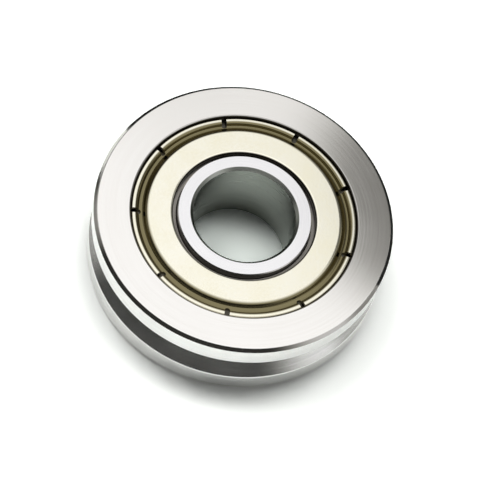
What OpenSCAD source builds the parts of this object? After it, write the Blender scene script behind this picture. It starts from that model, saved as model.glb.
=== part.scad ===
// V groove wheel that is its own deep groove ball bearing, in millimetres.
// The outer ring is the wheel: a V groove round the outside, a ball race inside it.
// The inner ring is clamped on an axle. Origin at the middle of the wheel, +Z along the axle.

/* [Wheel] */
// Outside diameter of the wheel
wheel_d = 35; // [33:0.5:45]
// Width across the side faces, the same on both rings
wheel_w = 10; // [9.4:0.1:14]
// Chamfer between the tread and each side face
tread_chamfer = 0.4; // [0.2:0.05:0.8]
// Small break on the other turned edges of the two rings
edge_break = 0.12; // [0.05:0.01:0.2]

/* [V groove] */
// Width of the groove's mouth, where its flanks would meet the tread
groove_mouth = 4; // [3:0.1:4.4]
// Angle between the groove's flanks, in degrees
groove_angle = 90; // [80:5:110]
// Radius at the bottom of the groove
groove_root_r = 0.3; // [0.1:0.05:0.6]
// Radius where each flank runs out into the tread
groove_edge_r = 0.3; // [0.1:0.05:0.6]

/* [Bore] */
// Bore of the inner ring
bore_d = 12; // [10:0.5:13]
// Chamfer at each end of the bore
bore_chamfer = 0.35; // [0.2:0.05:0.5]
// Radial width of the inner ring's side face, from the bore to the neck
face_w = 1.85; // [1.5:0.05:2]

/* [Balls and races] */
// Number of balls
ball_count = 8; // [6:1:8]
// Diameter of a ball
ball_d = 4.7625; // [4.2:0.05:4.85]
// Diameter of the circle through the ball centres
pitch_d = 20.4; // [20:0.1:21.6]
// Gap between a ball and the bottom of each race
race_play = 0.04; // [0.02:0.005:0.06]
// How much larger the radius of a race's section is than a ball's
race_ease = 0.1; // [0.07:0.01:0.14]
// Height of the shoulders beside the races
shoulder_h = 0.98; // [0.7:0.02:1.1]
// Rounding of the shoulders' corners and of the inner ring's neck
shoulder_corner_r = 0.15; // [0.05:0.05:0.25]

/* [Cage] */
// Thickness of the two pressed ribbons
cage_t = 0.45; // [0.3:0.05:0.5]
// Gap between the ribbons and the shoulder of each ring
cage_gap = 0.34; // [0.2:0.02:0.5]
// Gap between a ball and its pocket
pocket_gap = 0.1; // [0.05:0.01:0.15]
// Shank of the rivets
rivet_d = 0.9; // [0.6:0.05:1]
// Head of the rivets
rivet_head_d = 1.5; // [1.2:0.05:1.6]
// Height of the rivets' domed heads
rivet_head_h = 0.35; // [0.2:0.05:0.5]
// Gap round a rivet's shank in its holes
rivet_play = 0.02; // [0.01:0.01:0.04]

/* [Shields] */
// Thickness of the pressed sheet
shield_t = 0.3; // [0.2:0.05:0.35]
// Depth of a shield's flat land below the side face
land_set = 0.15; // [0.05:0.05:0.3]
// Depth of the pressed valley below the land
valley_h = 0.6; // [0.5:0.05:0.8]
// Height of the crimped rim above the valley
rim_h = 0.45; // [0.3:0.05:0.5]
// Radius of the bends, on the middle of the sheet
bend_r = 0.25; // [0.2:0.05:0.3]
// Radius of the wide bend at the outer edge of the land, on the middle of the sheet
land_bend_r = 0.5; // [0.3:0.05:0.6]
// Radius of the wide bend that the valley starts with, on the middle of the sheet
bowl_r = 0.7; // [0.4:0.05:0.8]
// Radial width of the wall between the land and the valley
land_wall_w = 0.5; // [0.4:0.05:0.6]
// Radial width of the valley
valley_w = 0.6; // [0.55:0.05:0.75]
// Radial width of the rise from the valley to the rim
rim_rise_w = 0.2; // [0.2:0.05:0.35]
// Radial width of the top of the rim
rim_top_w = 0.4; // [0.35:0.05:0.5]
// Radial reach of the rim's foot, which springs out under the lip of the recess
rim_foot_w = 0.25; // [0.25:0.05:0.4]
// Height of the lip that is turned in round the inner edge
lip_h = 0.6; // [0.4:0.05:0.8]
// Gap between a shield's inner edge and the neck of the inner ring
shield_gap = 0.5; // [0.4:0.02:0.8]
// Gap between the turned lip and the shoulder of the inner ring
lip_gap = 0.35; // [0.2:0.05:0.6]

/* [Crimping slits] */
// Number of slits through the rim of each shield
slit_count = 9; // [5:1:12]
// Width of a slit
slit_w = 0.6; // [0.3:0.05:0.7]
// How far a slit runs in from the wall of the recess
slit_l = 1.25; // [1:0.05:1.4]
// Angle of the first slit from +X, in degrees
slit_phase = -4; // [-20:1:20]

/* [Shield recess] */
// Radial width of the ledge that a shield sits on
ledge_w = 1.6; // [1.5:0.05:1.9]
// Depth of the undercut that holds the shield's rim
undercut = 0.25; // [0.15:0.05:0.4]
// Gap between the rim's foot and the roof of the undercut
foot_gap = 0.1; // [0.05:0.05:0.15]

/* [Hidden] */
$fn = 96;
arc_steps = 6; // straight steps in a rounded corner of a section
sunk = 0.1; // how far one solid of a union reaches into the next
past = 0.5; // how far a cutter reaches past what it cuts

half_w = wheel_w / 2;
wheel_r = wheel_d / 2;
bore_r = bore_d / 2;
pitch_r = pitch_d / 2;
ball_r = ball_d / 2;

// Races: the bottom of each is one play away from the balls
race_r = ball_r + race_ease;
inner_race_bottom = pitch_r - ball_r - race_play;
outer_race_bottom = pitch_r + ball_r + race_play;
inner_shoulder_r = inner_race_bottom + shoulder_h;
outer_shoulder_r = outer_race_bottom - shoulder_h;

// Cage: the ribbons fill the room between the shoulders, less a gap at each side
cage_in_r = inner_shoulder_r + cage_gap;
cage_out_r = outer_shoulder_r - cage_gap;
pocket_r = ball_r + pocket_gap;
ball_step = 360 / ball_count;

// Shield recess: the ledge carries the underside of the valley
recess_r = outer_shoulder_r + ledge_w;
undercut_r = recess_r + undercut;
seat_depth = land_set + valley_h + shield_t;
recess_lip_h = seat_depth - shield_t - undercut - foot_gap;

// Inner ring: the neck beside the shield's lip
neck_r = bore_r + face_w;
neck_h = land_set + lip_h + lip_gap;
shield_in_r = neck_r + shield_gap;

groove_depth = groove_mouth / 2 / tan(groove_angle / 2);

BALLS = [for (i = [1:ball_count]) str("ball_", i)];

ground_steel = "#E4E2DE";
ball_steel = "#D8DADC";
cage_steel = "#B4B2AC";
shield_steel = "#DDD8BC";

// ---- sections, as lists of [radius, height, corner radius] ----

function unit(v) = v / norm(v);

function spot(corner) = [corner.x, corner.y];

// Points of the arc that rounds corner b, between a and c
function corner_arc(a, b, c) =
    let (
        to_a = unit(spot(a) - spot(b)),
        to_c = unit(spot(c) - spot(b)),
        half = acos(to_a * to_c) / 2,
        centre = spot(b) + unit(to_a + to_c) * b.z / sin(half),
        first = spot(b) + to_a * b.z / tan(half) - centre,
        last = spot(b) + to_c * b.z / tan(half) - centre,
        start = atan2(first.y, first.x),
        turn = (atan2(last.y, last.x) - start + 540) % 360 - 180
    )
    [for (i = [0:arc_steps]) let (at = start + turn * i / arc_steps) centre + b.z * [cos(at), sin(at)]];

// A closed outline with its corners rounded
function rounded(corners) =
    let (n = len(corners))
    [for (i = [0:n - 1])
        each corners[i].z > 0
            ? corner_arc(corners[(i + n - 1) % n], corners[i], corners[(i + 1) % n])
            : [spot(corners[i])]];

// An open line with its inner corners bent round
function bent(corners) =
    let (n = len(corners))
    [for (i = [0:n - 1])
        each i > 0 && i < n - 1
            ? corner_arc(corners[i - 1], corners[i], corners[i + 1])
            : [spot(corners[i])]];

// The mitred offset to the left of a line at its point i, for an offset of 1
function mitre(line, i) =
    let (
        before = unit(i > 0 ? line[i] - line[i - 1] : line[1] - line[0]),
        after = i < len(line) - 1 ? unit(line[i + 1] - line[i]) : before,
        along = unit(before + after)
    )
    [-along.y, along.x] / (along * before);

// The outline of a sheet of thickness t whose middle follows the line
function sheet(line, t) =
    let (last = len(line) - 1)
    concat(
        [for (i = [0:last]) line[i] + mitre(line, i) * t / 2],
        [for (i = [last:-1:0]) line[i] - mitre(line, i) * t / 2]
    );

// The same corners below the middle plane, in the order that goes on round the section
function below(corners) =
    [for (i = [len(corners) - 1:-1:0]) [corners[i].x, -corners[i].y, corners[i].z]];

// ---- rings ----

module ring(corners, race_centre) {
    rotate_extrude()
        difference() {
            polygon(rounded(corners));
            translate([race_centre, 0]) circle(r = race_r);
        }
}

module outer_ring() {
    upper = [
        [outer_shoulder_r, half_w - seat_depth, shoulder_corner_r],
        [undercut_r, half_w - seat_depth, 0],
        [undercut_r, half_w - recess_lip_h - undercut, 0],
        [recess_r, half_w - recess_lip_h, 0],
        [recess_r, half_w - edge_break, 0],
        [recess_r + edge_break, half_w, 0],
        [wheel_r - tread_chamfer, half_w, 0],
        [wheel_r, half_w - tread_chamfer, 0],
        [wheel_r, groove_mouth / 2, groove_edge_r]
    ];
    groove_bottom = [[wheel_r - groove_depth, 0, groove_root_r]];
    color(ground_steel)
        ring(concat(upper, groove_bottom, below(upper)), outer_race_bottom - race_r);
}

module inner_ring() {
    upper = [
        [bore_r, half_w - bore_chamfer, 0],
        [bore_r + bore_chamfer, half_w, 0],
        [neck_r - edge_break, half_w, 0],
        [neck_r, half_w - edge_break, 0],
        [neck_r, half_w - neck_h, shoulder_corner_r],
        [inner_shoulder_r, half_w - neck_h, shoulder_corner_r]
    ];
    color(ground_steel)
        ring(concat(upper, below(upper)), inner_race_bottom + race_r);
}

// ---- balls ----

module at_ball(i) {
    rotate([0, 0, i * ball_step]) translate([pitch_r, 0, 0]) children();
}

module ball(i) {
    color(ball_steel) at_ball(i) sphere(r = ball_r);
}

// ---- cage: two pressed ribbons, back to back, riveted between the balls ----

module at_rivets() {
    for (i = [1:ball_count]) at_ball(i + 0.5) children();
}

module cage_ribbon() {
    pocket_top = pocket_r + cage_t;
    difference() {
        intersection() {
            union() {
                cylinder(r = cage_out_r + past, h = cage_t);
                for (i = [1:ball_count]) at_ball(i) sphere(r = pocket_top);
            }
            difference() {
                cylinder(r = cage_out_r, h = pocket_top + past);
                translate([0, 0, -past]) cylinder(r = cage_in_r, h = pocket_top + 3 * past);
            }
        }
        for (i = [1:ball_count]) at_ball(i) sphere(r = pocket_r);
        at_rivets() cylinder(d = rivet_d + 2 * rivet_play, h = 3 * cage_t, center = true);
    }
}

module cage_upper() {
    color(cage_steel) cage_ribbon();
}

module cage_lower() {
    color(cage_steel) mirror([0, 0, 1]) cage_ribbon();
}

// The domed head that stands on the upper ribbon
module rivet_head() {
    dome_r = (pow(rivet_head_d / 2, 2) + pow(rivet_head_h, 2)) / 2 / rivet_head_h;
    intersection() {
        translate([0, 0, cage_t + rivet_head_h - dome_r]) sphere(r = dome_r);
        translate([0, 0, cage_t]) cylinder(d = 2 * rivet_head_d, h = 2 * rivet_head_h);
    }
}

module cage_rivets() {
    color(ball_steel)
        at_rivets() {
            cylinder(d = rivet_d, h = 2 * (cage_t + sunk), center = true);
            rivet_head();
            mirror([0, 0, 1]) rivet_head();
        }
}

// ---- shields: pressed sheet, crimped into the recess of the outer ring ----

// Middle of the sheet from the turned lip to the foot of the rim, seen from the side face down
function shield_line() =
    let (
        land_z = half_w - land_set - shield_t / 2,
        valley_z = half_w - seat_depth + shield_t / 2,
        rim_z = valley_z + rim_h,
        lip_r = shield_in_r + shield_t / 2,
        rim_top_r = recess_r - rim_foot_w,
        rim_in_r = rim_top_r - rim_top_w,
        valley_out_r = rim_in_r - rim_rise_w,
        valley_in_r = valley_out_r - valley_w
    )
    [
        [lip_r, half_w - land_set - lip_h, 0],
        [lip_r, land_z, bend_r],
        [valley_in_r - land_wall_w, land_z, land_bend_r],
        [valley_in_r, valley_z, bowl_r],
        [valley_out_r, valley_z, bend_r],
        [rim_in_r, rim_z, bend_r],
        [rim_top_r, rim_z, bend_r],
        [recess_r, valley_z + shield_t / 2, 0]
    ];

// One crimping slit, open at the rim and round at its inner end
module slit() {
    inner_end = recess_r - slit_l + slit_w / 2;
    translate([inner_end, 0, half_w - seat_depth / 2]) {
        cylinder(d = slit_w, h = 2 * seat_depth, center = true);
        translate([0, -slit_w / 2, -seat_depth]) cube([slit_l + past, slit_w, 2 * seat_depth]);
    }
}

module shield() {
    difference() {
        rotate_extrude() polygon(sheet(bent(shield_line()), shield_t));
        for (i = [1:slit_count]) rotate([0, 0, slit_phase + i * 360 / slit_count]) slit();
    }
}

module shield_upper() {
    color(shield_steel) shield();
}

module shield_lower() {
    color(shield_steel) mirror([0, 0, 1]) shield();
}

outer_ring();
inner_ring();
for (i = [1:ball_count]) ball(i);
cage_upper();
cage_lower();
cage_rivets();
shield_upper();
shield_lower();
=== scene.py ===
import math

import bpy
import numpy as np
from mathutils import Matrix, Vector


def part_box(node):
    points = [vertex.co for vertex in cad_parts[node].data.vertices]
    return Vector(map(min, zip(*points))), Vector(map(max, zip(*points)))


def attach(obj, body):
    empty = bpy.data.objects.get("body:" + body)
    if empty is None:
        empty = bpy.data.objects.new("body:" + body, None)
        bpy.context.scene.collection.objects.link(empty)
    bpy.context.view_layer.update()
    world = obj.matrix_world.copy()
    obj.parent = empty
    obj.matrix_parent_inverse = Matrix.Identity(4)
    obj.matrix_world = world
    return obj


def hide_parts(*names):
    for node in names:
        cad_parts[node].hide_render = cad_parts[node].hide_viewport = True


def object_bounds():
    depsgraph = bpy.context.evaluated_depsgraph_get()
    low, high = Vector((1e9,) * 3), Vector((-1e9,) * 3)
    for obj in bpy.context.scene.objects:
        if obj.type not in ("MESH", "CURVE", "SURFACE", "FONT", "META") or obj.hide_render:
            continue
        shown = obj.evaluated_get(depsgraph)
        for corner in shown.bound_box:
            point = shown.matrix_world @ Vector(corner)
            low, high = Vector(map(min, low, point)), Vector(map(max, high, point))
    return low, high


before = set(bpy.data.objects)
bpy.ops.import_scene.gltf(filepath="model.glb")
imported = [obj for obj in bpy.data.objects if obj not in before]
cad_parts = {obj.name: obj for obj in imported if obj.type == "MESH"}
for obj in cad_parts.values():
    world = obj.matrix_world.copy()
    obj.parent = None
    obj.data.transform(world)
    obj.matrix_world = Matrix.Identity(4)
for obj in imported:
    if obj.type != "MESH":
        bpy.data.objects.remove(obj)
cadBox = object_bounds()
print("frame loaded")

mm = 0.001
minEdge = 0.03  # mm, the least rounding of a turned edge, so that it catches a thin light line
weldStep = 1e-8  # metres, points nearer than this are one point


def unitRows(v):
    return v / np.linalg.norm(v, axis=-1, keepdims=True)


# The outward side of a section walked clockwise is on the left: (t_r, t_z) turns to (-t_z, t_r)
def leftOf(t):
    return np.stack([-t[..., 1], t[..., 0]], axis=-1)


# A stretch is (points, outward normals). This one runs straight from a to b: p = a + share (b - a)
def straight(a, b, steps=1):
    share = np.linspace(0, 1, steps + 1)[:, None]
    return a + (b - a) * share, np.repeat(leftOf(unitRows(b - a))[None], steps + 1, axis=0)


# An arc about centre: p = centre + radius (cos, sin), from angle start through turn
def arc(centre, radius, start, turn, steps):
    at = start + turn * np.linspace(0, 1, steps + 1)
    spoke = np.stack([np.cos(at), np.sin(at)], axis=-1)
    tangent = np.stack([-spoke[:, 1], spoke[:, 0]], axis=-1) * np.sign(turn)
    return centre + radius * spoke, leftOf(tangent)


# The lesser way round from one angle to another
def lesserTurn(start, end):
    return (end - start + 3 * math.pi) % (2 * math.pi) - math.pi


# Corner b between a and c, rounded by an arc of radius r that touches both sides
def cornerArc(a, b, c, r, steps):
    toA, toC = unitRows(a - b), unitRows(c - b)
    half = math.acos(float(np.clip(toA @ toC, -1, 1))) / 2
    centre = b + unitRows(toA + toC) * r / math.sin(half)
    first = b + toA * r / math.tan(half) - centre
    last = b + toC * r / math.tan(half) - centre
    start, end = math.atan2(first[1], first[0]), math.atan2(last[1], last[0])
    return arc(centre, r, start, lesserTurn(start, end), steps)


# The corners of the upper half with the same corners below, so that the section closes. Each corner is
# (radius, height, rounding, finish of the stretch after it)
def mirrored(upper, closing):
    finishBefore = [closing] + [c[3] for c in upper[:-1]]
    lower = [(r, -z, rounding, finish) for (r, z, rounding, _), finish in zip(upper, finishBefore) if z > 0]
    return upper + lower[::-1]


# Stretches of a closed section, each (points, normals, finish). A finish that is a dictionary is a ball race:
# an arc about its centre to the next corner, whose two corners stay sharp
def closedSection(corners, steps=6):
    spots = [np.array(c[:2], float) for c in corners]
    count = len(corners)
    isRace = [isinstance(c[3], dict) for c in corners]
    rounded = []
    for i, c in enumerate(corners):
        if isRace[i] or isRace[i - 1]:
            rounded.append((spots[i][None], None))
        else:
            following = spots[(i + 1) % count]
            rounded.append(cornerArc(spots[i - 1], spots[i], following, max(c[2], minEdge), steps))
    stretches = []
    for i, c in enumerate(corners):
        if rounded[i][1] is not None:
            stretches.append((*rounded[i], corners[i - 1][3]))
        a, b = rounded[i][0][-1], rounded[(i + 1) % count][0][0]
        if isRace[i]:
            race = c[3]
            centre = np.array(race["centre"], float)
            start, end = math.atan2(*(a - centre)[::-1]), math.atan2(*(b - centre)[::-1])
            hollow = arc(centre, np.linalg.norm(a - centre), start, lesserTurn(start, end), race["steps"])
            stretches.append((*hollow, race["finish"]))
        else:
            stretches.append((*straight(a, b), c[3]))
    return stretches


# Mesh of a piece from points (metres), faces and the normal of each face corner; finishes are its materials
def meshPiece(name, points, faces, cornerNormals, finishes, finishOfFace=None):
    mesh = bpy.data.meshes.new(name)
    mesh.from_pydata(points.tolist(), [], faces.tolist())
    mesh.polygons.foreach_set("use_smooth", np.ones(len(faces), bool))
    for finish in finishes:
        mesh.materials.append(finish)
    if finishOfFace is not None:
        mesh.polygons.foreach_set("material_index", np.asarray(finishOfFace, np.int32))
    mesh.validate()
    mesh.normals_split_custom_set(cornerNormals.reshape(-1, 3).tolist())
    piece = bpy.data.objects.new(name, mesh)
    bpy.context.scene.collection.objects.link(piece)
    return piece


# A closed section carried round the axis:
# point (i, j) = (r_i cos a_j, r_i sin a_j, z_i) with a_j = 2 pi j / around
def turnedPiece(name, stretches, around, materials):
    section = np.concatenate([s[0][:-1] for s in stretches]) * mm
    normalStart = np.concatenate([s[1][:-1] for s in stretches])
    normalEnd = np.concatenate([s[1][1:] for s in stretches])
    names = sorted({s[2] for s in stretches})
    finishOfStep = np.concatenate([np.full(len(s[0]) - 1, names.index(s[2])) for s in stretches])
    angle = 2 * math.pi * np.arange(around) / around
    count = len(section)
    i, j = np.meshgrid(np.arange(count), np.arange(around), indexing="ij")
    iNext, jNext = (i + 1) % count, (j + 1) % around

    def carried(rz, at):
        return np.stack([rz[..., 0] * np.cos(at), rz[..., 0] * np.sin(at), rz[..., 1] + 0 * at], axis=-1)

    points = carried(section[i], angle[j]).reshape(-1, 3)
    quads = np.stack([i * around + j, iNext * around + j, iNext * around + jNext, i * around + jNext], -1)
    normals = np.stack([
        carried(normalStart[i], angle[j]), carried(normalEnd[i], angle[j]),
        carried(normalEnd[i], angle[jNext]), carried(normalStart[i], angle[jNext]),
    ], axis=2)
    finishOfFace = np.repeat(finishOfStep, around)
    return meshPiece(name, points, quads.reshape(-1, 4), normals, [materials[n] for n in names], finishOfFace)


# Four-cornered faces of several grids joined into one closed mesh: points that meet become one, and a side
# that has shrunk to nothing leaves a triangle
def weldedPiece(name, points, faces, cornerNormals, finishes):
    cells = np.round(points / weldStep).astype(np.int64)
    _, first, merged = np.unique(cells, axis=0, return_index=True, return_inverse=True)
    faces = merged.reshape(-1)[faces]
    halves = np.concatenate([faces[:, [0, 1, 2]], faces[:, [0, 2, 3]]])
    normals = np.concatenate([cornerNormals[:, [0, 1, 2]], cornerNormals[:, [0, 2, 3]]])
    whole = (halves[:, 0] != halves[:, 1]) & (halves[:, 1] != halves[:, 2]) & (halves[:, 2] != halves[:, 0])
    return meshPiece(name, points[first], halves[whole], normals[whole], finishes)


# Four-cornered faces of a grid of points, each walked (i, j), (i + 1, j), (i + 1, j + 1), (i, j + 1)
def gridFaces(shape):
    index = np.arange(shape[0] * shape[1]).reshape(shape)
    return np.stack([index[:-1, :-1], index[1:, :-1], index[1:, 1:], index[:-1, 1:]], -1).reshape(-1, 4)


# The direction at an azimuth from +X and a height, in radians: (cos e cos a, cos e sin a, sin e)
def direction(a, e):
    return np.stack([np.cos(e) * np.cos(a), np.cos(e) * np.sin(a), np.sin(e) + 0 * a], axis=-1)


# An sRGB hex colour as the linear colour that the shader wants
def fromHex(code):
    srgb = np.array([int(code[k:k + 2], 16) for k in (1, 3, 5)]) / 255
    linear = np.where(srgb <= 0.04045, srgb / 12.92, ((srgb + 0.055) / 1.055) ** 2.4)
    return (*linear.tolist(), 1.0)


# Adds one node: settings are its properties, links its inputs, each a value or another node's output
def addNode(tree, kind, settings=None, links=None):
    node = tree.nodes.new(kind)
    for key, value in (settings or {}).items():
        setattr(node, key, value)
    for key, value in (links or {}).items():
        if isinstance(value, bpy.types.NodeSocket):
            tree.links.new(value, node.inputs[key])
        else:
            node.inputs[key].default_value = value
    return node


colourA, colourB, colourOut = 6, 7, 2  # the sockets of a Mix node that mixes colours


def newMaterial(name):
    material = bpy.data.materials.new(name)
    material.use_nodes = True
    material.node_tree.nodes.clear()
    return material, material.node_tree


# The distance of a place from the axis, and the direction from the axis to it
def spokeTo(tree, place):
    flat = addNode(tree, "ShaderNodeVectorMath", {"operation": "MULTIPLY"}, {0: place, 1: (1, 1, 0)})
    radius = addNode(tree, "ShaderNodeVectorMath", {"operation": "LENGTH"}, {0: flat.outputs[0]})
    spoke = addNode(tree, "ShaderNodeVectorMath", {"operation": "NORMALIZE"}, {0: flat.outputs[0]})
    return radius.outputs["Value"], spoke.outputs[0]


# The surface's normal tipped outwards from the axis, by an amount that grows from one radius (mm) to another
def leanedNormal(tree, spoke, radius, lean):
    (firstR, firstLean), (lastR, lastLean) = lean
    amount = addNode(tree, "ShaderNodeMapRange", links={
        "Value": radius, "From Min": firstR * mm, "From Max": lastR * mm,
        "To Min": firstLean, "To Max": lastLean})
    outward = addNode(tree, "ShaderNodeVectorTransform", {
        "vector_type": "VECTOR", "convert_from": "OBJECT", "convert_to": "WORLD"}, {"Vector": spoke})
    tip = addNode(tree, "ShaderNodeVectorMath", {"operation": "SCALE"}, {
        0: outward.outputs[0], "Scale": amount.outputs[0]})
    normal = addNode(tree, "ShaderNodeNewGeometry").outputs["Normal"]
    tipped = addNode(tree, "ShaderNodeVectorMath", {"operation": "ADD"}, {0: normal, 1: tip.outputs[0]})
    unit = addNode(tree, "ShaderNodeVectorMath", {"operation": "NORMALIZE"}, {0: tipped.outputs[0]})
    return unit.outputs[0]


acrossTheRings = 0.25  # of a turn, so that the shine spreads across the rings


# Steel cut while it turned: fine rings round the axis. The rings are a noise that changes fast across (radius
# and height, both over the spacing) and slowly along (the direction from the axis), so that they have no seam
def ringMarkedSteel(name, look):
    noiseLow, noiseHigh = 0.3, 0.7  # where most of the noise's values lie
    material, tree = newMaterial(name)
    place = addNode(tree, "ShaderNodeTexCoord").outputs["Object"]
    height = addNode(tree, "ShaderNodeSeparateXYZ", links={"Vector": place}).outputs["Z"]
    radius, spoke = spokeTo(tree, place)
    heading = addNode(tree, "ShaderNodeSeparateXYZ", links={"Vector": spoke}).outputs
    across = 1 / (look["spacing"] * mm)
    radiusIn = addNode(tree, "ShaderNodeMath", {"operation": "MULTIPLY"}, {0: radius, 1: across})
    heightIn = addNode(tree, "ShaderNodeMath", {"operation": "MULTIPLY"}, {0: height, 1: across})
    alongX = addNode(tree, "ShaderNodeMath", {"operation": "MULTIPLY"}, {0: heading["X"], 1: look["breaks"]})
    alongY = addNode(tree, "ShaderNodeMath", {"operation": "MULTIPLY"}, {0: heading["Y"], 1: look["breaks"]})
    spot = addNode(tree, "ShaderNodeCombineXYZ", links={
        "X": radiusIn.outputs[0], "Y": heightIn.outputs[0], "Z": alongX.outputs[0]})
    rings = addNode(tree, "ShaderNodeTexNoise", {"noise_dimensions": "4D"}, {
        "Vector": spot.outputs[0], "W": alongY.outputs[0], "Scale": 1.0, "Detail": 3.0, "Roughness": 0.65})
    cloud = addNode(tree, "ShaderNodeTexNoise", {"noise_dimensions": "3D"}, {
        "Vector": place, "Scale": 1 / (look["cloud"] * mm), "Detail": 2.0, "Roughness": 0.5})
    both = addNode(tree, "ShaderNodeMix", {"data_type": "FLOAT"}, {
        "Factor": look["cloudShare"], "A": rings.outputs[0], "B": cloud.outputs[0]})
    tone = addNode(tree, "ShaderNodeMapRange", links={
        "Value": both.outputs[0], "From Min": noiseLow, "From Max": noiseHigh, "To Min": 0.0, "To Max": 1.0})
    colour = addNode(tree, "ShaderNodeMix", {"data_type": "RGBA"}, {
        "Factor": tone.outputs[0], colourA: fromHex(look["dark"]), colourB: fromHex(look["light"])})
    rough = addNode(tree, "ShaderNodeMapRange", links={
        "Value": both.outputs[0], "From Min": noiseLow, "From Max": noiseHigh,
        "To Min": look["roughness"][0], "To Max": look["roughness"][1]})
    bump = addNode(tree, "ShaderNodeBump", links={
        "Strength": look["bump"], "Distance": look["spacing"] * mm, "Height": rings.outputs[0]})
    if "lean" in look:  # the ridges between the rings lean outwards, and the shine tips with them
        tree.links.new(leanedNormal(tree, spoke, radius, look["lean"]), bump.inputs["Normal"])
    shader = addNode(tree, "ShaderNodeBsdfPrincipled", links={
        "Base Color": colour.outputs[colourOut], "Metallic": 1.0, "Roughness": rough.outputs[0],
        "Anisotropic": look["anisotropic"], "Anisotropic Rotation": acrossTheRings,
        "Normal": bump.outputs[0]})
    addNode(tree, "ShaderNodeOutputMaterial", links={"Surface": shader.outputs[0]})
    return material


# Sizes in mm. Real grinding marks are 0.01 to 0.03 mm apart, and they are drawn about ten times coarser, so
# that they show. spacing is from ring to ring, breaks is how soon a ring changes on its way round, cloud is
# the size of the soft patches, and lean is how far the normal tips outwards at two radii
steelLooks = {
    # side faces, ground flat: pale, with faint rings and a shine that spreads across them
    "groundSteelFace": {
        "light": "#F8F6F3", "dark": "#F0EDE9", "spacing": 0.2, "breaks": 0.8, "cloud": 6.0, "cloudShare": 0.3,
        "roughness": (0.18, 0.24), "anisotropic": 0.4, "bump": 0.02, "lean": ((13.4, 0.088), (17.1, 0.128))},
    # edges turned to 45 degrees: smoother, a clean dark or light line
    "turnedSteelEdge": {
        "light": "#C8C6C2", "dark": "#B4B2AE", "spacing": 0.15, "breaks": 1.0, "cloud": 5.0,
        "cloudShare": 0.2, "roughness": (0.07, 0.11), "anisotropic": 0.3, "bump": 0.03},
    # tread and groove, ground to shape: bright, with soft streaks round the wheel
    "groundSteelTread": {
        "light": "#E8E8E6", "dark": "#CDCDCB", "spacing": 0.18, "breaks": 1.2, "cloud": 4.0,
        "cloudShare": 0.3, "roughness": (0.17, 0.25), "anisotropic": 0.3, "bump": 0.03},
    # recess and ledge, turned and left: dull, and painted dark as the shade under the shields' rim
    "turnedSteelRecess": {
        "light": "#5B5850", "dark": "#45423C", "spacing": 0.2, "breaks": 1.0, "cloud": 3.0, "cloudShare": 0.2,
        "roughness": (0.22, 0.32), "anisotropic": 0.3, "bump": 0.06},
    # neck and shoulder of the inner ring: softly dull, and painted grey as the shields' shadow in the gap
    "greasedSteelNeck": {
        "light": "#A29E98", "dark": "#84807A", "spacing": 0.2, "breaks": 1.0, "cloud": 2.0, "cloudShare": 0.4,
        "roughness": (0.28, 0.40), "anisotropic": 0.2, "bump": 0.04},
    # ball races, honed: near mirror
    "honedSteelRace": {
        "light": "#E6E6E6", "dark": "#DADADA", "spacing": 0.1, "breaks": 2.0, "cloud": 3.0, "cloudShare": 0.2,
        "roughness": (0.06, 0.10), "anisotropic": 0.2, "bump": 0.01},
    # the inner ring's ground face: cool white against the shields
    "groundSteelInnerFace": {
        "light": "#FAF9FA", "dark": "#F2F1F3", "spacing": 0.2, "breaks": 1.4, "cloud": 5.0, "cloudShare": 0.2,
        "roughness": (0.13, 0.19), "anisotropic": 0.4, "bump": 0.04},
    # the bore, ground by a small wheel: satin with rings up its wall, painted grey as the shade deep in the
    # bore
    "groundSteelBore": {
        "light": "#A7AAA4", "dark": "#969993", "spacing": 0.25, "breaks": 1.5, "cloud": 4.0,
        "cloudShare": 0.3, "roughness": (0.20, 0.30), "anisotropic": 0.3, "bump": 0.05},
}
steel = {name: ringMarkedSteel(name, look) for name, look in steelLooks.items()}


# Painted shade in rings round the axis: shadeBands holds, for each ring, the radii where it starts, is full,
# is full last and ends, and its colour
def paintedShadeBands(tree, place, colour, shadeBands):
    radius = spokeTo(tree, place)[0]
    for first, full, fullEnd, last, tint in shadeBands:
        into = addNode(tree, "ShaderNodeMapRange", {"interpolation_type": "SMOOTHSTEP"}, {
            "Value": radius, "From Min": first * mm, "From Max": full * mm})
        outOf = addNode(tree, "ShaderNodeMapRange", {"interpolation_type": "SMOOTHSTEP"}, {
            "Value": radius, "From Min": fullEnd * mm, "From Max": last * mm, "To Min": 1.0, "To Max": 0.0})
        share = addNode(tree, "ShaderNodeMath", {"operation": "MULTIPLY"}, {
            0: into.outputs[0], 1: outOf.outputs[0]})
        tinted = addNode(tree, "ShaderNodeMix", {"data_type": "RGBA"}, {
            "Factor": share.outputs[0], colourA: colour, colourB: fromHex(tint)})
        colour = tinted.outputs[colourOut]
    return colour
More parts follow.
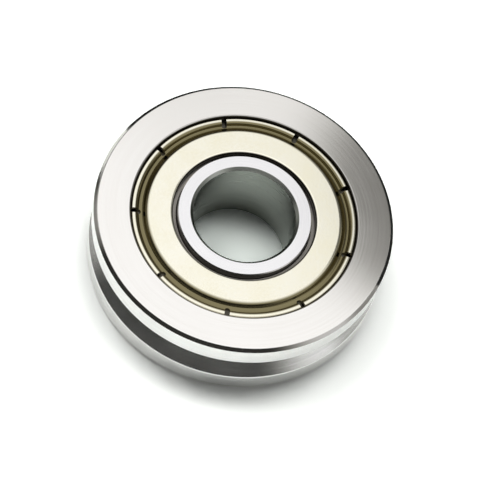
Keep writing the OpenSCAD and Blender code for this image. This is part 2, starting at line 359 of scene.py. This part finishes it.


# Thin strip steel, pressed to shape and plated: a fine cloudy grain under a smooth skin, with its own warm or
# grey tint, and painted shade in rings where it is folded
def platedSheetSteel(name, look):
    noiseLow, noiseHigh = 0.35, 0.65  # where most of the noise's values lie
    cloudShare = 0.55
    material, tree = newMaterial(name)
    place = addNode(tree, "ShaderNodeTexCoord").outputs["Object"]
    grain = addNode(tree, "ShaderNodeTexNoise", links={
        "Vector": place, "Scale": 1 / (look["grain"] * mm), "Detail": 3.0, "Roughness": 0.6})
    cloud = addNode(tree, "ShaderNodeTexNoise", links={
        "Vector": place, "Scale": 1 / (look["cloud"] * mm), "Detail": 2.0, "Roughness": 0.5})
    both = addNode(tree, "ShaderNodeMix", {"data_type": "FLOAT"}, {
        "Factor": cloudShare, "A": grain.outputs[0], "B": cloud.outputs[0]})
    tone = addNode(tree, "ShaderNodeMapRange", links={
        "Value": both.outputs[0], "From Min": noiseLow, "From Max": noiseHigh, "To Min": 0.0, "To Max": 1.0})
    colour = addNode(tree, "ShaderNodeMix", {"data_type": "RGBA"}, {
        "Factor": tone.outputs[0], colourA: fromHex(look["dark"]), colourB: fromHex(look["light"])})
    colour = paintedShadeBands(tree, place, colour.outputs[colourOut], look.get("shadeBands", []))
    rough = addNode(tree, "ShaderNodeMapRange", links={
        "Value": both.outputs[0], "From Min": noiseLow, "From Max": noiseHigh,
        "To Min": look["roughness"][0], "To Max": look["roughness"][1]})
    bump = addNode(tree, "ShaderNodeBump", links={
        "Strength": look["bump"], "Distance": look["grain"] * mm, "Height": grain.outputs[0]})
    shader = addNode(tree, "ShaderNodeBsdfPrincipled", links={
        "Base Color": colour, "Metallic": 1.0, "Roughness": rough.outputs[0], "Normal": bump.outputs[0]})
    addNode(tree, "ShaderNodeOutputMaterial", links={"Surface": shader.outputs[0]})
    return material


# Sizes in mm: grain and cloud are those of the fine and the soft patches
sheetLooks = {
    # shields: zinc plated with a straw yellow passivation; the rings below are painted shade: olive in the
    # valley, where the sheet mirrors itself, grey on the rim and dark at the edge of the lip
    "yellowZincSheet": {
        "light": "#FFFCEE", "dark": "#F9F4DE", "grain": 0.25, "cloud": 4.0,
        "roughness": (0.13, 0.20), "bump": 0.02,
        "shadeBands": [
            # painted shade, each ring: the valley's olive, the rim's grey and the dark edge of the lip beside
            # the gap
            (11.05, 11.45, 12.62, 12.80, "#7F7759"),  # valley
            (12.93, 13.05, 13.3, 13.4, "#B3AD98"),  # rim
            (8.0, 8.1, 8.42, 8.54, "#5C5954"),  # edge of the lip
        ]},
    # cage ribbons: cold rolled strip, barrelled after pressing, so grey and softly dull
    "coldRolledStrip": {
        "light": "#C2C0BA", "dark": "#9E9C96", "grain": 0.2, "cloud": 1.5,
        "roughness": (0.28, 0.42), "bump": 0.10},
    # rivets: headed wire, brighter than the strip
    "headedWire": {
        "light": "#D2D3D4", "dark": "#B4B6B8", "grain": 0.15, "cloud": 1.0,
        "roughness": (0.18, 0.30), "bump": 0.06},
    # balls: lapped chrome steel, a mirror with a faint haze
    "lappedBallSteel": {
        "light": "#E2E3E5", "dark": "#D6D7DA", "grain": 0.3, "cloud": 1.5,
        "roughness": (0.04, 0.08), "bump": 0.004},
}
sheet = {name: platedSheetSteel(name, look) for name, look in sheetLooks.items()}
print("materials made:", len(steel) + len(sheet))

# The outer ring is the wheel itself
outerRing = {  # mm
    "chamfer": 0.4, "chamferR": 0.2, "edgeBreak": 0.12, "edgeR": 0.15,
    "grooveMouth": 4.0, "grooveDepth": 2.0, "grooveEdgeR": 0.3, "grooveRootR": 0.3,
    "shoulderR": 11.64125, "shoulderCornerR": 0.15, "raceR": 2.48125, "raceCentreR": 10.14,
    "recessR": 13.24125, "undercut": 0.25, "seatDepth": 1.05, "recessLip": 0.4,
    "raceSteps": 40, "around": 320,
}


def outerRingSection(v):
    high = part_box("outer_ring")[1]
    wheelR, halfW = high.x / mm, high.z / mm
    undercutR, mouth = v["recessR"] + v["undercut"], v["grooveMouth"] / 2
    raceEdge = math.sqrt(v["raceR"] ** 2 - (v["shoulderR"] - v["raceCentreR"]) ** 2)
    race = {"centre": (v["raceCentreR"], 0), "steps": v["raceSteps"], "finish": "honedSteelRace"}
    upper = [
        (v["shoulderR"], raceEdge, 0, "turnedSteelRecess"),
        (v["shoulderR"], halfW - v["seatDepth"], v["shoulderCornerR"], "turnedSteelRecess"),
        (undercutR, halfW - v["seatDepth"], 0, "turnedSteelRecess"),
        (undercutR, halfW - v["recessLip"] - v["undercut"], 0, "turnedSteelRecess"),
        (v["recessR"], halfW - v["recessLip"], 0, "turnedSteelRecess"),
        (v["recessR"], halfW - v["edgeBreak"], v["edgeR"], "turnedSteelEdge"),
        (v["recessR"] + v["edgeBreak"], halfW, v["edgeR"], "groundSteelFace"),
        (wheelR - v["chamfer"], halfW, v["chamferR"], "turnedSteelEdge"),
        (wheelR, halfW - v["chamfer"], 0, "groundSteelTread"),
        (wheelR, mouth, v["grooveEdgeR"], "groundSteelTread"),
        (wheelR - v["grooveDepth"], 0, v["grooveRootR"], "groundSteelTread"),
    ]
    return closedSection(mirrored(upper, closing=race))


outerRingPiece = turnedPiece("outer_ring_turned", outerRingSection(outerRing), outerRing["around"], steel)
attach(outerRingPiece, "wheel")
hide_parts("outer_ring")
print("outer ring made")

# The inner ring lies round the bore
innerRing = {  # mm
    "boreR": 6.0, "boreChamfer": 0.35, "edgeBreak": 0.12, "faceWidth": 1.85, "neckHeight": 1.1,
    "shoulderR": 8.75875, "shoulderCornerR": 0.15, "raceR": outerRing["raceR"], "raceCentreR": 10.26,
    "raceSteps": 40, "around": 288,
}


def innerRingSection(v):
    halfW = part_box("inner_ring")[1].z / mm
    neckR = v["boreR"] + v["faceWidth"]
    raceEdge = math.sqrt(v["raceR"] ** 2 - (v["raceCentreR"] - v["shoulderR"]) ** 2)
    race = {"centre": (v["raceCentreR"], 0), "steps": v["raceSteps"], "finish": "honedSteelRace"}
    upper = [
        (v["boreR"], halfW - v["boreChamfer"], 0, "groundSteelBore"),
        (v["boreR"] + v["boreChamfer"], halfW, 0, "groundSteelInnerFace"),
        (neckR - v["edgeBreak"], halfW, 0, "turnedSteelEdge"),
        # the neck and shoulder below carry painted shade, grey for the shields' shadow in the gap
        (neckR, halfW - v["edgeBreak"], 0, "greasedSteelNeck"),
        (neckR, halfW - v["neckHeight"], v["shoulderCornerR"], "greasedSteelNeck"),
        (v["shoulderR"], halfW - v["neckHeight"], v["shoulderCornerR"], "greasedSteelNeck"),
        (v["shoulderR"], raceEdge, 0, race),
    ]
    return closedSection(mirrored(upper, closing="groundSteelBore"))


innerRingPiece = turnedPiece("inner_ring_turned", innerRingSection(innerRing), innerRing["around"], steel)
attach(innerRingPiece, "inner")
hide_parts("inner_ring")
print("inner ring made")

# The shields are pressed sheet with a land, a valley and a rim crimped through slits
shield = {  # mm
    "sheet": 0.3, "lipR": 8.35, "lipHeight": 0.6, "landSet": 0.15, "landWall": 0.5, "valleyDepth": 0.6,
    "valley": 0.6, "rimRise": 0.2, "rimHeight": 0.45, "rimTop": 0.4, "rimFoot": 0.25,
    "recessR": outerRing["recessR"],
    "lipBendR": 0.17, "landBendR": 0.5, "bowlR": 0.7, "bendR": 0.25, "bendSteps": 8,
    "slits": 9, "slitWidth": 0.6, "slitLength": 1.25, "slitPhase": -4, "slitEndSteps": 9,
    "tongueSteps": 38,
}


# Middle of the sheet from the turned lip to the foot of the rim, as points and normals: straight stretches
# with an arc at each corner. The lip turns in tightly, the land rolls over wide, the valley starts as a bowl
def shieldLine(v):
    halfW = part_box("outer_ring")[1].z / mm
    lipMiddleR = v["lipR"] + v["sheet"] / 2
    landZ = halfW - v["landSet"] - v["sheet"] / 2
    valleyZ = landZ - v["valleyDepth"]
    rimZ = valleyZ + v["rimHeight"]
    rimTopR = v["recessR"] - v["rimFoot"]
    rimInR = rimTopR - v["rimTop"]
    valleyOutR = rimInR - v["rimRise"]
    valleyInR = valleyOutR - v["valley"]
    corners = np.array([  # radius, height, radius of the bend
        (lipMiddleR, halfW - v["landSet"] - v["lipHeight"], 0),
        (lipMiddleR, landZ, v["lipBendR"]),
        (valleyInR - v["landWall"], landZ, v["landBendR"]),
        (valleyInR, valleyZ, v["bowlR"]),
        (valleyOutR, valleyZ, v["bendR"]),
        (rimInR, rimZ, v["bendR"]),
        (rimTopR, rimZ, v["bendR"]),
        (v["recessR"], valleyZ + v["sheet"] / 2, 0),
    ])
    spots, bendR = corners[:, :2], corners[:, 2]
    bends = [cornerArc(*spots[k - 1:k + 2], bendR[k], v["bendSteps"]) for k in range(1, len(corners) - 1)]
    footNormal = leftOf(unitRows(spots[-1:] - spots[-2:-1]))
    points = np.concatenate([spots[:1]] + [b[0] for b in bends] + [spots[-1:]])
    normals = np.concatenate([bends[0][1][:1]] + [b[1] for b in bends] + [footNormal])
    return withSlitEnds(v, points, normals)


# More points on the line where the slits end round: at r = inner end + half width (1 - cos t)
def withSlitEnds(v, points, normals):
    clear = 0.001  # share of a stretch within which its own ends will do
    t = np.linspace(0, math.pi / 2, v["slitEndSteps"] + 1)
    radii = v["recessR"] - v["slitLength"] + v["slitWidth"] / 2 * (1 - np.cos(t))
    before, after = points[:-1, 0], points[1:, 0]
    share = (radii[:, None] - before) / np.where(after == before, 1, after - before)
    extra = (np.arange(len(before)) + share)[(share > clear) & (share < 1 - clear)]
    along = np.arange(len(points))
    steps = np.sort(np.concatenate([along, extra]))
    points = np.stack([np.interp(steps, along, points[:, k]) for k in (0, 1)], axis=-1)
    normals = unitRows(np.stack([np.interp(steps, along, normals[:, k]) for k in (0, 1)], axis=-1))
    return points, normals


# Half the width w of a slit at radius r: 0 inside its end, then sqrt(w^2 - (w - (r - r_end))^2), then w
def slitHalfWidth(v, r):
    half = v["slitWidth"] / 2
    depth = np.clip(r - (v["recessR"] - v["slitLength"]), 0, half)
    return np.sqrt(np.maximum(half ** 2 - (half - depth) ** 2, 0))


# One skin of the sheet, above its middle (sign 1) or below it (-1), carried round in tongues between slits.
# Point (tongue, i, j) lies at the angle a = slit + inset_i + j / n (tongue - 2 inset_i), where the inset is
# asin(half the slit's width / r)
def shieldSkin(v, line, normal, halfWidth, sign):
    tongue = 2 * math.pi / v["slits"]
    slit = math.radians(v["slitPhase"]) + tongue * np.arange(v["slits"])
    share = np.linspace(0, 1, v["tongueSteps"] + 1)
    rz = line + sign * normal * v["sheet"] / 2
    inset = np.arcsin(halfWidth / rz[:, 0])[None, :, None]
    angle = slit[:, None, None] + inset + share * (tongue - 2 * inset)
    c, s = np.cos(angle), np.sin(angle)
    r, z = rz[None, :, 0, None], rz[None, :, 1, None] + 0 * angle
    nr, nz = sign * normal[None, :, 0, None], sign * normal[None, :, 1, None] + 0 * angle
    return np.stack([r * c, r * s, z], -1) * mm, np.stack([nr * c, nr * s, nz], -1)


# The two skins, closed by narrow faces round the lip, along the foot and beside the slits
def makeShield(name, v, side):
    line, normal = shieldLine(v)
    halfWidth = slitHalfWidth(v, line[:, 0])
    top, topNormal = shieldSkin(v, line, normal, halfWidth, 1)
    under, underNormal = shieldSkin(v, line, normal, halfWidth, -1)
    points = np.concatenate([top.reshape(-1, 3), under.reshape(-1, 3)])
    t = np.arange(top[..., 0].size).reshape(top.shape[:3])
    u = t + t.size

    def quads(*corners):
        return np.stack([c.reshape(-1) for c in corners], -1)

    def normalsOf(*corners):
        return np.stack([c.reshape(-1, 3) for c in corners], 1)

    tn, un = topNormal, underNormal
    skins = [
        quads(t[:, :-1, :-1], t[:, 1:, :-1], t[:, 1:, 1:], t[:, :-1, 1:]),
        quads(u[:, :-1, :-1], u[:, :-1, 1:], u[:, 1:, 1:], u[:, 1:, :-1]),
    ]
    smooth = [
        normalsOf(tn[:, :-1, :-1], tn[:, 1:, :-1], tn[:, 1:, 1:], tn[:, :-1, 1:]),
        normalsOf(un[:, :-1, :-1], un[:, :-1, 1:], un[:, 1:, 1:], un[:, 1:, :-1]),
    ]
    cut = np.nonzero(halfWidth[1:] > 0)[0]  # stretches that have a slit beside them
    edges = np.concatenate([
        quads(u[:, :1, :-1], t[:, :1, :-1], t[:, :1, 1:], u[:, :1, 1:]),
        quads(t[:, -1:, :-1], u[:, -1:, :-1], u[:, -1:, 1:], t[:, -1:, 1:]),
        quads(t[:, cut, 0], u[:, cut, 0], u[:, cut + 1, 0], t[:, cut + 1, 0]),
        quads(t[:, cut, -1], t[:, cut + 1, -1], u[:, cut + 1, -1], u[:, cut, -1]),
    ])
    p = points[edges]
    flat = unitRows(np.cross(p[:, 2] - p[:, 0], p[:, 3] - p[:, 1]))
    normals = np.concatenate(smooth + [np.repeat(flat[:, None], 4, axis=1)])
    faces = np.concatenate(skins + [edges])
    if side < 0:  # turned over about the X axis, which keeps the faces outwards
        points = points * (1, -1, -1)
        normals = normals * (1, -1, -1)
    return weldedPiece(name, points, faces, normals, [sheet["yellowZincSheet"]])


for side, place in ((1, "upper"), (-1, "lower")):
    piece = makeShield(f"shield_{place}_pressed", shield, side)
    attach(piece, "wheel")
    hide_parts(f"shield_{place}")
print("shields made")


# A ball: p = centre + r (sin v cos u, sin v sin u, cos v)
def makeBall(name, node, around=72):
    low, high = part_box(node)
    centre, radius = np.array((low + high) / 2), (high.x - low.x) / 2
    down = around // 2
    u, v = np.meshgrid(2 * math.pi * np.arange(around + 1) / around, math.pi * np.arange(down + 1) / down)
    spoke = np.stack([np.sin(v) * np.cos(u), np.sin(v) * np.sin(u), np.cos(v)], -1)
    spoke[:, -1] = spoke[:, 0]  # the seam closes on itself
    spoke[0], spoke[-1] = (0, 0, 1), (0, 0, -1)
    faces = gridFaces(u.shape)
    normals = spoke.reshape(-1, 3)
    return weldedPiece(name, centre + radius * normals, faces, normals[faces], [sheet["lappedBallSteel"]])


for node in sorted(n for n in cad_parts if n.startswith("ball_")):
    piece = makeBall(node + "_lapped", node)
    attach(piece, node + "_body")
    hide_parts(node)

cageFinish = {"cage_upper": "coldRolledStrip", "cage_lower": "coldRolledStrip", "cage_rivets": "headedWire"}
for node, finish in cageFinish.items():
    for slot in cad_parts[node].material_slots:
        slot.material = sheet[finish]
print("balls, cage and rivets made")

floorSetting = {
    "size": 3.0,  # metres from the middle to an edge
    "colour": "#F3F6F2",
    "gain": 0.34,  # what the camera and the metal see on top, so that the floor is white
}


# Pale floor that the camera and the metal see lifted to white, with the shadow kept
def makeFloor(v):
    material, tree = newMaterial("paperFloor")
    ray = addNode(tree, "ShaderNodeLightPath").outputs
    seen = addNode(tree, "ShaderNodeMath", {"operation": "MAXIMUM"}, {
        0: ray["Is Camera Ray"], 1: ray["Is Glossy Ray"]})
    gain = addNode(tree, "ShaderNodeMath", {"operation": "MULTIPLY"}, {0: seen.outputs[0], 1: v["gain"]})
    paper = addNode(tree, "ShaderNodeBsdfDiffuse", links={"Color": fromHex(v["colour"])})
    more = addNode(tree, "ShaderNodeBsdfDiffuse", links={"Color": gain.outputs[0]})
    both = addNode(tree, "ShaderNodeAddShader", links={0: paper.outputs[0], 1: more.outputs[0]})
    addNode(tree, "ShaderNodeOutputMaterial", links={"Surface": both.outputs[0]})
    size, z = v["size"], cadBox[0].z
    corners = np.array([(-size, -size, z), (size, -size, z), (size, size, z), (-size, size, z)])
    faces = np.array([(0, 1, 2, 3)])
    floor = meshPiece("floor", corners, faces, np.tile((0.0, 0.0, 1.0), (1, 4, 1)), [material])


tentSetting = {
    "radius": 0.16, "azimuthStep": 2.0, "heightStep": 1.0, "lowest": -2,  # metres, degrees
    "wallGlow": 0.05, "roofGlow": 1.06, "roofFrom": 30, "roofFull": 43,  # the roof's heights in degrees
    "shadeTint": "#FBFAF2",  # the tint of what glows least
    "floorGlow": 0.05,  # what the floor sees of the tent in the metal
    "cards": [  # azimuth from +X, height, half width and soft edge in degrees, and glow
        (85, 44, 22, 26, 0.92),
        (56, 41.5, 18.5, 11, 0.19),
        (344, 19, 21, 30, 1.0),
        (12, 4, 20, 16, 0.45),
        (34, 22, 8, 10, 0.8),
        (172, 16, 15, 16, 0.5),
    ],
}


# 0 below 0, 1 above 1 and x^2 (3 - 2 x) between
def smoothStep(x):
    x = np.clip(x, 0, 1)
    return x * x * (3 - 2 * x)


# Light straight from the tent has the painted glow, and light that comes by way of the floor the floor's glow
def glowMaterial(v):
    material, tree = newMaterial("softTent")
    painted = addNode(tree, "ShaderNodeAttribute", {"attribute_name": "glow"}).outputs["Fac"]
    depth = addNode(tree, "ShaderNodeLightPath").outputs["Diffuse Depth"]  # 1 or more by way of the floor
    fromFloor = addNode(tree, "ShaderNodeMath", {"operation": "GREATER_THAN"}, {0: depth, 1: 0.5})
    strength = addNode(tree, "ShaderNodeMix", {"data_type": "FLOAT"}, {
        "Factor": fromFloor.outputs[0], "A": painted, "B": v["floorGlow"]})
    tint = addNode(tree, "ShaderNodeMix", {"data_type": "RGBA"}, {
        "Factor": painted, colourA: fromHex(v["shadeTint"]), colourB: fromHex("#FFFFFF")})
    light = addNode(tree, "ShaderNodeEmission", links={
        "Color": tint.outputs[colourOut], "Strength": strength.outputs[0]})
    addNode(tree, "ShaderNodeOutputMaterial", links={"Surface": light.outputs[0]})
    return material


# A soft tent that only reflections see: dark walls, a pale roof and a few cards.
# Point (i, j) = radius (cos e_i cos a_j, cos e_i sin a_j, sin e_i)
def makeTent(v):
    azimuth = np.radians(np.arange(0, 360 + v["azimuthStep"] / 2, v["azimuthStep"]))
    height = np.radians(np.arange(v["lowest"], 90 + v["heightStep"] / 2, v["heightStep"]))
    e, a = np.meshgrid(height, azimuth, indexing="ij")
    spoke = direction(a, e)
    rise = smoothStep((np.degrees(e) - v["roofFrom"]) / (v["roofFull"] - v["roofFrom"]))
    glow = v["wallGlow"] + (v["roofGlow"] - v["wallGlow"]) * rise
    for cardA, cardE, halfWidth, soft, cardGlow in v["cards"]:
        toCard = direction(math.radians(cardA), math.radians(cardE))
        away = np.degrees(np.arccos(np.clip(spoke @ toCard, -1, 1)))
        share = 1 - smoothStep((away - halfWidth + soft / 2) / soft)
        glow = glow + (cardGlow - glow) * share
    faces = gridFaces(e.shape)  # walked so that they face inwards
    spoke = spoke.reshape(-1, 3)
    tent = meshPiece("soft_tent", spoke * v["radius"], faces, -spoke[faces], [glowMaterial(v)])
    values = glow.reshape(-1).astype(np.float32)
    tent.data.attributes.new("glow", "FLOAT", "POINT").data.foreach_set("value", values)
    tent.visible_camera = tent.visible_diffuse = tent.visible_shadow = False


flagSetting = {  # mm, degrees
    "radius": 25, "steps": 59, "glow": 0.03,
    "edges": [  # azimuth from +X, height of the lower edge and of the upper edge
        (-3, 5, 6), (3, 3.2, 8), (10, 1.5, 8), (25, 0, 7), (39, -1.5, 6),
        (65, -4, 4.5), (90, -5, 3.5), (115, -4, 4.5), (141, -1, 6), (150, 3, 5),
    ],
}


# A low dark card bent round the wheel, which only reflections see and which keeps the chamfer dark:
# point (i, j) = (radius cos a_j, radius sin a_j, z_i(a_j)), where z_0 is the lower edge and z_1 the upper
def makeFlag(v):
    edges = np.array(v["edges"], float)
    azimuth = np.linspace(edges[0, 0], edges[-1, 0], v["steps"] + 1)
    angle = np.radians(np.stack([azimuth, azimuth]))
    z = np.stack([np.interp(azimuth, edges[:, 0], edges[:, k]) for k in (1, 2)])
    points = np.stack([v["radius"] * np.cos(angle), v["radius"] * np.sin(angle), z], -1) * mm
    faces = gridFaces(angle.shape)
    inward = np.stack([-np.cos(angle), -np.sin(angle), 0 * angle], -1).reshape(-1, 3)
    material, tree = newMaterial("darkFlag")
    light = addNode(tree, "ShaderNodeEmission", links={"Color": fromHex("#FFFFFF"), "Strength": v["glow"]})
    addNode(tree, "ShaderNodeOutputMaterial", links={"Surface": light.outputs[0]})
    flag = meshPiece("low_flag", points.reshape(-1, 3), faces, inward[faces], [material])
    flag.visible_camera = flag.visible_diffuse = flag.visible_shadow = False


netSetting = {
    "radius": innerRing["boreR"], "height": 5.3, "around": 48,  # mm
    "through": "#CBD0CD",  # the light that it lets through
}


# A flat round net over the bore, which neither the camera nor the metal sees: it thins the light on the floor
# inside the bore. Point j = (radius cos a_j, radius sin a_j, height)
def makeNet(v):
    angle = 2 * math.pi * np.arange(v["around"]) / v["around"]
    r, z = v["radius"], v["height"]
    points = np.stack([r * np.cos(angle), r * np.sin(angle), z + 0 * angle], -1) * mm
    faces = np.arange(v["around"])[None]
    material, tree = newMaterial("lightNet")
    clear = addNode(tree, "ShaderNodeBsdfTransparent", links={"Color": fromHex(v["through"])})
    addNode(tree, "ShaderNodeOutputMaterial", links={"Surface": clear.outputs[0]})
    net = meshPiece("light_net", points, faces, np.tile((0.0, 0.0, 1.0), (1, v["around"], 1)), [material])
    net.visible_camera = net.visible_glossy = False


skyFill = 0.17  # strength of the pale room as a light


# A pale room: weak as a light, and plain white where the camera or a mirrored ray sees it
def makeWorld(fill):
    world = bpy.data.worlds.new("paleRoom")
    world.use_nodes = True
    tree = world.node_tree
    tree.nodes.clear()
    ray = addNode(tree, "ShaderNodeLightPath").outputs
    reflected = addNode(tree, "ShaderNodeMath", {"operation": "MAXIMUM"}, {
        0: ray["Is Glossy Ray"], 1: ray["Is Transmission Ray"]})
    seen = addNode(tree, "ShaderNodeMath", {"operation": "MAXIMUM"}, {
        0: reflected.outputs[0], 1: ray["Is Camera Ray"]})
    strength = addNode(tree, "ShaderNodeMapRange", links={
        "Value": seen.outputs[0], "To Min": fill, "To Max": 1.0})
    back = addNode(tree, "ShaderNodeBackground", links={
        "Color": fromHex("#FFFFFF"), "Strength": strength.outputs[0]})
    addNode(tree, "ShaderNodeOutputWorld", links={"Surface": back.outputs[0]})
    bpy.context.scene.world = world


lamps = [  # power, spread, azimuth from +X and height, in degrees
    (0.90, 18, 102, 80),
    (0.80, 20, 60, 70),
    (1.20, 22, 150, 63),
]


# A wide soft lamp far away, which the metal doesn't mirror
def makeLamp(name, power, spread, azimuth, height):
    data = bpy.data.lights.new(name, "SUN")
    data.energy, data.angle = power, math.radians(spread)
    toLamp = Vector(direction(math.radians(azimuth), math.radians(height)))
    lamp = bpy.data.objects.new(name, data)
    lamp.rotation_euler = toLamp.to_track_quat("Z", "Y").to_euler()
    lamp.visible_glossy = False
    bpy.context.scene.collection.objects.link(lamp)


cameraSetting = {
    "distance": 0.277, "height": 60, "roll": 17.1,  # metres, degrees, degrees
    "lens": 180, "sensor": 36,  # mm
    "aimRight": -0.58, "aimDown": 2.95,  # mm from the middle of the upper face to what the camera aims at
    "nearest": 0.01, "farthest": 100,  # metres
}


# The camera looks down from the -Y side, rolled, and then turns a little to its aim
def makeCamera(v):
    faceCentre = Vector((0, 0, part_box("outer_ring")[1].z))
    e = math.radians(v["height"])
    back = Vector((0, -math.cos(e), math.sin(e)))
    data = bpy.data.cameras.new("camera")
    data.lens, data.sensor_width = v["lens"], v["sensor"]
    data.clip_start, data.clip_end = v["nearest"], v["farthest"]
    camera = bpy.data.objects.new("camera", data)
    turn = back.to_track_quat("Z", "Y").to_matrix() @ Matrix.Rotation(math.radians(v["roll"]), 3, "Z")
    right, up = turn.col[0], turn.col[1]
    eye = faceCentre + back * v["distance"]
    aim = faceCentre + right * v["aimRight"] * mm - up * v["aimDown"] * mm
    toEye = (eye - aim).normalized()
    across = up.cross(toEye).normalized()
    turn = Matrix((across, toEye.cross(across).normalized(), toEye)).transposed()
    camera.matrix_world = Matrix.Translation(eye) @ turn.to_4x4()
    bpy.context.scene.collection.objects.link(camera)
    bpy.context.scene.camera = camera


makeFloor(floorSetting)
makeTent(tentSetting)
makeFlag(flagSetting)
makeNet(netSetting)
makeWorld(skyFill)
for k, lamp in enumerate(lamps):
    makeLamp(f"soft_lamp_{k + 1}", *lamp)
makeCamera(cameraSetting)
bpy.context.scene.view_settings.view_transform = "Standard"
print("studio made")
